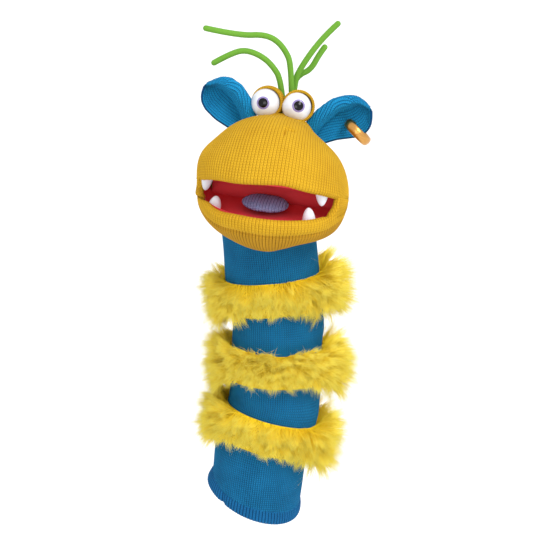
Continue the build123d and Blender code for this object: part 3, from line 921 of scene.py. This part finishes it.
def ear(word, matrix, upper, lower, flap):
    """A folded leaf of knit, ribbed along its length and as thick as the cloth."""
    half_thick = 0.9
    points, sign = ear_leaf(upper, lower, flap)
    normal = np.cross(np.gradient(points, axis=0), np.gradient(points, axis=1))
    normal /= np.maximum(np.linalg.norm(normal, axis=-1, keepdims=True), 1e-9)
    u = from_zero(np.linalg.norm(np.diff(points, axis=1), axis=-1)) / 2.3
    v = points[:, :1, 0] / 1.5
    points = points + normal * groove(u, 0.45)[..., None] * sign
    front, back = points + normal * half_thick, points - normal * half_thick
    both = np.concatenate([front, back[:, ::-1], front[:, :1]], 1)
    piece = grid_piece(word + "_ear_knit", placed(matrix, both), closed(np.hstack([u, u[:, ::-1]])), v)
    finish_piece(piece, EAR_BLUE, word + "_ear", [word + "_ear"])


def ears():
    ear("left", shift(-26, 9, 304) @ turn("Y", 223),
        [(-29, -6.5), (-23.5, -9), (-14, -14.5), (0, -18), (10, -16.5), (16, -12), (20.5, -3.5)],
        [(-29, 7.5), (-15, 10.5), (-3, 12.6), (8, 12.2), (14, 9.8), (18, 5.5), (20.5, -0.5)],
        [(-29, 13), (-15, 11), (0, 9.5), (12, 8.5), (20.5, 2)])
    ear("right", shift(66.5, 8, 291.5) @ turn("Y", -24),
        [(-29, 6), (-25, 7.5), (-13.4, 12.5), (0, 15.5), (12, 13.5), (18, 10.5), (22, 6), (24.5, 0.5)],
        [(-29, -9.5), (-17, -11), (-9, -12), (7, -17), (14, -16.5), (19, -13.5), (22.5, -8), (24.5, -2.5)],
        [(-29, 12), (-15, 9.5), (0, 8.5), (12, 7), (24.5, 2)])


def earring():
    """A thick flattened hoop."""
    place = shift(79.5, 5, 282.8) @ turn("Y", 45)
    at = np.radians(np.linspace(0, 360, 33))
    profile = np.stack([10.4 + 2.2 * np.cos(at), 3.9 * np.sin(at)], -1)
    piece = lathe("earring_hoop", profile, 128, place)
    finish_piece(piece, GOLD, "earring", ["earring"])


# ---------------------------------------------------------------- feelers
CORD_STEP = 0.8
# The group that a feeler swings with, its y, and its route from inside the head to the tip as (x, z).
FEELERS = {
    "long_left": ("left", 22.5, [(27.2, 262), (28.9, 331), (21, 349), (8, 358.2), (-14, 357),
                                 (-42.5, 363.4)]),
    "short_left": ("left", 22.5, [(22.0, 262), (21.8, 318), (10, 337.5), (-8, 346.5), (-22, 342.5),
                                  (-36, 334.6)]),
    "long_right": ("right", 28.5, [(27.2, 252), (27.6, 317), (38, 336.5), (54, 357), (66, 367.6)]),
    "short_right": ("right", 34.0, [(27.4, 246), (27.6, 314), (33, 325), (43, 329), (50, 342), (55.5, 349)]),
}


def route(controls):
    """Evenly spaced points along the smooth line that the control points give."""
    curve = bpy.data.curves.new("route", "CURVE")
    curve.dimensions = "3D"
    curve.resolution_u = 24
    spline = curve.splines.new("NURBS")
    spline.points.add(len(controls) - 1)
    for point, place in zip(spline.points, controls):
        point.co = (*place, 1)
    spline.order_u = 3
    spline.use_endpoint_u = True
    holder = bpy.data.objects.new("route", curve)
    bpy.context.scene.collection.objects.link(holder)
    line = bpy.data.meshes.new_from_object(holder)
    points = np.array([vertex.co for vertex in line.vertices])
    bpy.data.objects.remove(holder)
    run = run_along(points)
    at = np.linspace(0, run[-1], int(run[-1] / CORD_STEP))
    return np.stack([np.interp(at, run, points[:, k]) for k in range(3)], -1)


def cord_tube(name, line, radius, columns):
    """A round tube along a line in a plane of constant depth, with a domed tip."""
    along = np.gradient(line, axis=0)
    along /= np.linalg.norm(along, axis=1, keepdims=True)
    deep = np.array([0.0, 1.0, 0.0])
    side = np.cross(along, deep)
    dome = np.radians(np.array([25, 45, 62, 76, 88]))
    line = np.concatenate([line, line[-1] + along[-1] * radius * np.sin(dome[:, None])])
    size = np.concatenate([np.full(len(along), radius), radius * np.cos(dome)])
    side = np.concatenate([side, np.repeat(side[-1:], len(dome), axis=0)])
    around = angles(columns)[:, None]
    spoke = side[:, None] * np.cos(around) + deep * np.sin(around)
    points = line[:, None] + size[:, None, None] * spoke
    run = np.arange(len(line))[:, None] * CORD_STEP
    return grid_piece(name, points, np.arange(columns + 1), run, wrap=True)


def feelers():
    """Green cords with a wire in each."""
    for name, (group, depth, points) in FEELERS.items():
        line = route([(x, depth, z) for x, z in points])
        cover = cord_tube(name + "_feeler", line[:-3], 2.35, 24)
        finish_piece(cover, GREEN, group + "_feelers", [name + "_feeler_cover"])
        core = cord_tube(name + "_feeler_core", line[:-6], 0.8, 10)
        finish_piece(core, STEEL, group + "_feelers", [name + "_feeler_wire"])


# ---------------------------------------------------------------- hidden CAD parts, stage and camera
def inner_parts():
    """Materials for the CAD parts that stay as they are, behind the felt and the eyes."""
    finishes = {"upper_mouth_board": BOARD, "lower_mouth_board": BOARD,
                "left_eye_washer": WASHER, "right_eye_washer": WASHER}
    for name, material in finishes.items():
        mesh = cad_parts[name].data
        mesh.materials.clear()
        mesh.materials.append(material)


def lamp(name, kind, place, target, power):
    """A light at a place in metres, turned towards a target."""
    data = bpy.data.lights.new(name, kind)
    data.energy = power
    obj = bpy.data.objects.new(name, data)
    obj.location = place
    obj.rotation_euler = (Vector(target) - Vector(place)).to_track_quat("-Z", "Y").to_euler()
    bpy.context.scene.collection.objects.link(obj)
    return data


def lights():
    """Two soft suns and a small softbox, with the white world filling the shadows."""
    lamp("key", "SUN", (0.8, -0.9, 1.2), (0, 0, 0), 1.1).angle = math.radians(20)
    lamp("fill", "SUN", (-0.15, -1.0, 0.12), (0, 0, 0), 0.55).angle = math.radians(25)
    softbox = lamp("softbox", "AREA", (0.5, -0.9, 0.9), (0.014, 0, 0.25), 3)
    softbox.shape = "DISK"
    softbox.size = 0.35


def stage():
    """A white floor, far below the puppet and wide enough to meet the white world at the horizon."""
    half, level = 60000.0, -300.0
    points = [(-half, -half, level), (half, -half, level), (half, half, level), (-half, half, level)]
    floor = mesh_piece("floor", points, [[0, 1, 2, 3]])
    paper = hard_look("floor_paper", linear(252, 252, 252), linear(249, 249, 250), 3, Roughness=0.95)
    floor.data.materials.append(paper)
    world = bpy.data.worlds.new("studio")
    world.use_nodes = True
    background = world.node_tree.nodes["Background"]
    background.inputs["Color"].default_value = (1, 1, 1, 1)
    background.inputs["Strength"].default_value = 1.0
    bpy.context.scene.world = world


def camera():
    """Slightly above the puppet, looking down by pitch, with a frame of the given width at the target."""
    target, pitch = Vector((0.0144, 0, 0.1685)), 12
    distance, width = 1.4, 0.44
    bpy.context.scene.view_settings.view_transform = "Standard"
    data = bpy.data.cameras.new("camera")
    data.sensor_width = 36
    data.lens = data.sensor_width * distance / width
    obj = bpy.data.objects.new("camera", data)
    back, up = math.cos(math.radians(pitch)), math.sin(math.radians(pitch))
    obj.location = target + distance * Vector((0, -back, up))
    obj.rotation_euler = (math.radians(90 - pitch), 0, 0)
    bpy.context.scene.collection.objects.link(obj)
    bpy.context.scene.camera = obj


sleeve()
hem()
fur()
neck()
head_skin()
chin_skin()
mouth_corner("left", -1)
mouth_corner("right", 1)
mouth()
fangs()
tongue()
eyes()
ears()
earring()
feelers()
inner_parts()
stage()
lights()
camera()
